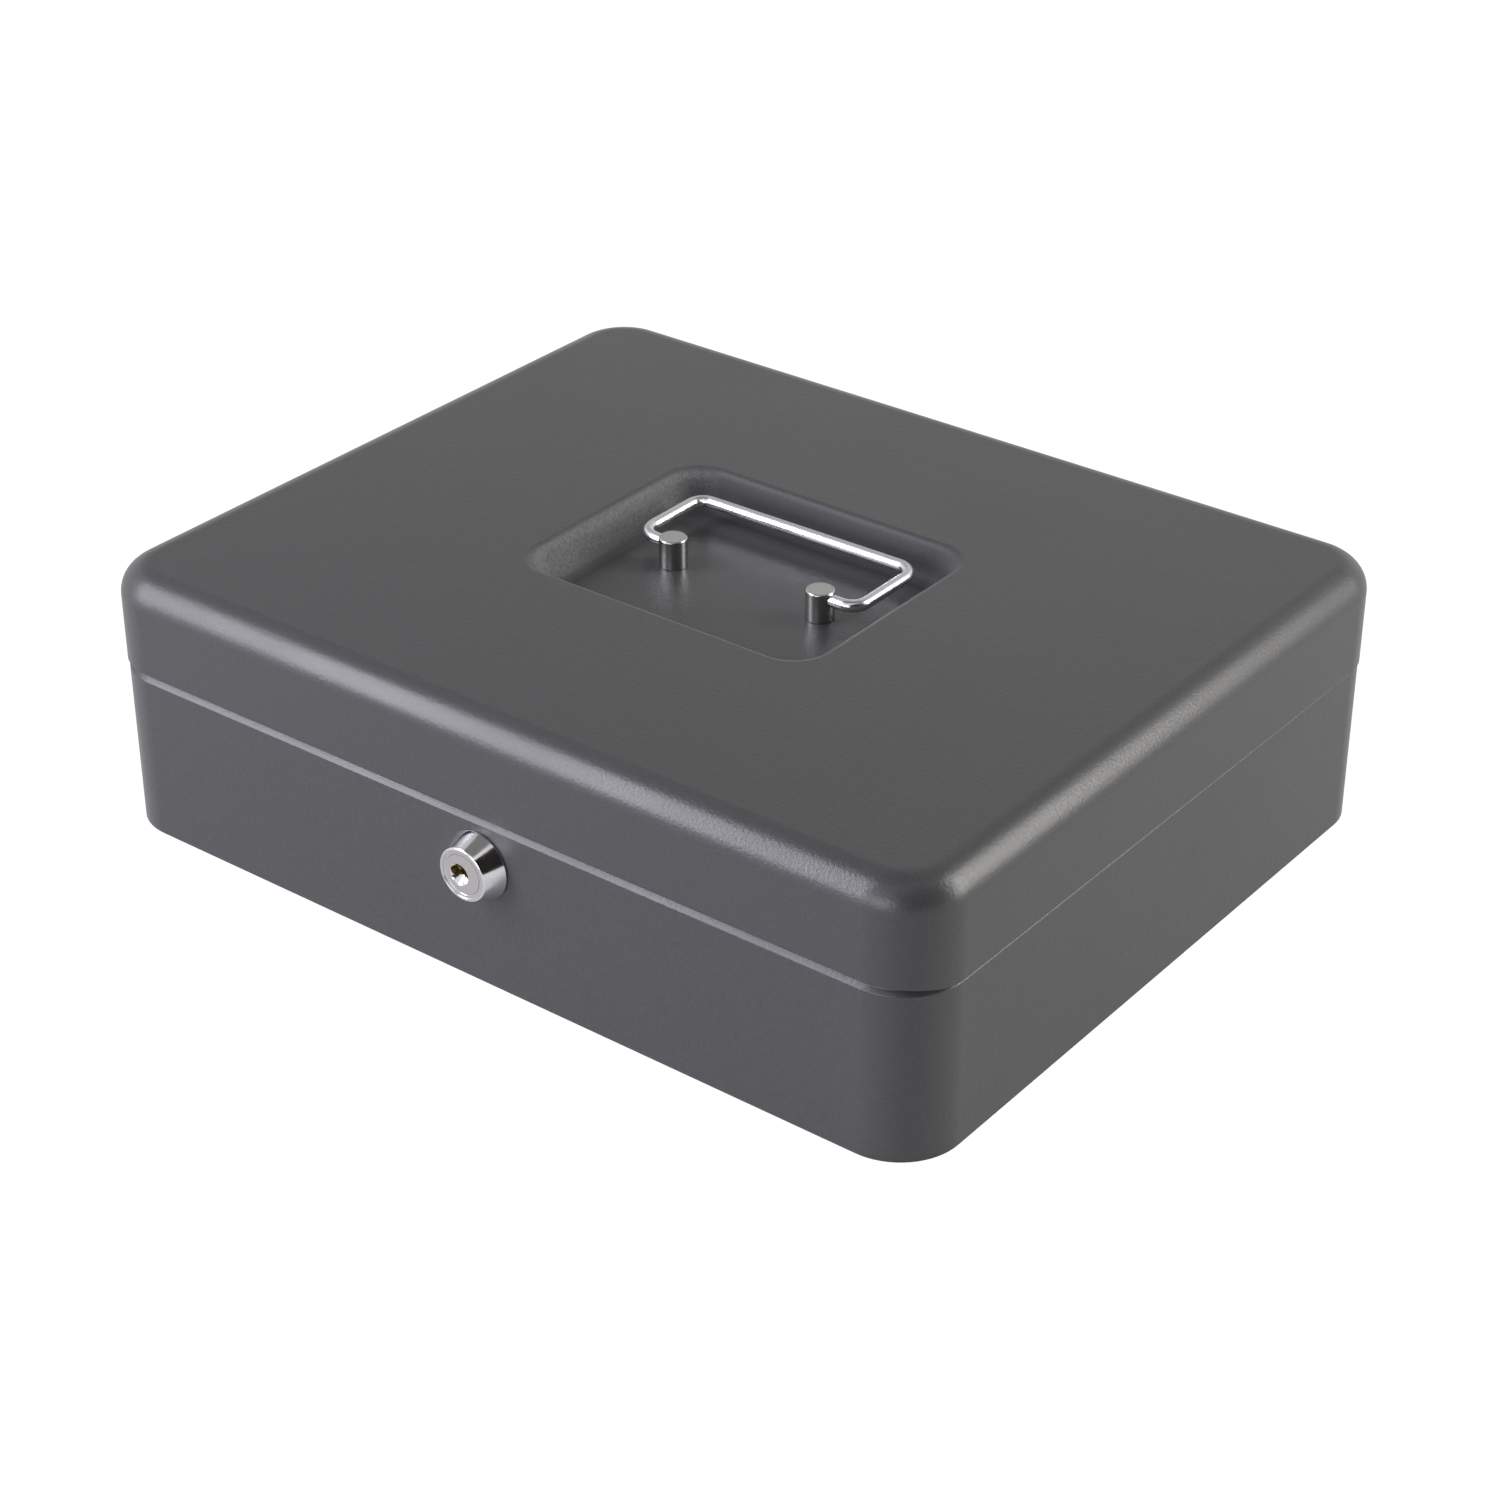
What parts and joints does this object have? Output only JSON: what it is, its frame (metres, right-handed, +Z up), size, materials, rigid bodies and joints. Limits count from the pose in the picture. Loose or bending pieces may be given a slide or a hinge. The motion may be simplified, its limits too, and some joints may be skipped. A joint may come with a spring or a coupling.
{
  "type": "cash box",
  "caption": "Lockable steel cash box with hinged lid, wire handle folded into a lid recess, cam lock and lift-out coin tray.",
  "frame": {"origin": "middle of the flat underside, at the surface it stands on", "axes": "+X along the front from left to right, lock on -Y, hinges on +Y, +Z up"},
  "size_m": [0.3008, 0.2547, 0.086],
  "materials": {
    "grey_powder_coat": "fine-grained matt powder coat",
    "nickel_plate": "turned and nickel plated",
    "bright_chrome": "polished wire",
    "lock_chrome": "polished",
    "lock_face": "satin nickel",
    "wafer_brass": "stamped",
    "spring_steel": "drawn wire",
    "zinc_plate": "bright zinc plated",
    "tray_plastic": "moulded with fine texture"
  },
  "bodies": {
    "case": {"body_wall": "grey_powder_coat", "bottom_plate": "grey_powder_coat", "tray_ledge_left": "grey_powder_coat", "tray_ledge_right": "grey_powder_coat", "hinge_case_leaf_left": "grey_powder_coat", "hinge_case_leaf_right": "grey_powder_coat", "hinge_pin_left": "zinc_plate", "hinge_pin_right": "zinc_plate", "lock_barrel": "lock_chrome", "lock_washer": "zinc_plate", "lock_nut": "zinc_plate"},
    "lid": {"lid_shell": "grey_powder_coat", "lid_catch": "grey_powder_coat", "hinge_lid_leaf_left": "grey_powder_coat", "hinge_lid_leaf_right": "grey_powder_coat", "handle_post_left": "nickel_plate", "handle_post_right": "nickel_plate", "handle_post_screws": "zinc_plate", "handle_post_washers": "zinc_plate"},
    "handle": {"carry_handle": "bright_chrome"},
    "lock_core": {"lock_plug": "lock_face", "lock_wafers": "wafer_brass", "wafer_springs": "spring_steel", "lock_cam": "zinc_plate", "cam_washer": "zinc_plate", "cam_screw": "zinc_plate"},
    "tray": {"coin_tray": "tray_plastic"}
  },
  "joints": [
    {"name": "lid_hinge", "type": "hinge", "parent": "case", "child": "lid", "pos_m": [0, 0.12405, 0.053], "axis": [-1, 0, 0], "range_deg": [0, 100]},
    {"name": "handle_fold", "type": "hinge", "parent": "lid", "child": "handle", "pos_m": [0, 0.0007, 0.0817], "axis": [1, 0, 0], "range_deg": [0, 180]},
    {"name": "lock_turn", "type": "hinge", "parent": "case", "child": "lock_core", "pos_m": [0, -0.121, 0.0394], "axis": [0, 1, 0], "range_deg": [0, 90]},
    {"name": "tray_lift", "type": "slide", "parent": "case", "child": "tray", "axis": [0, 0, 1], "range_m": [0, 0.008]}
  ]
}
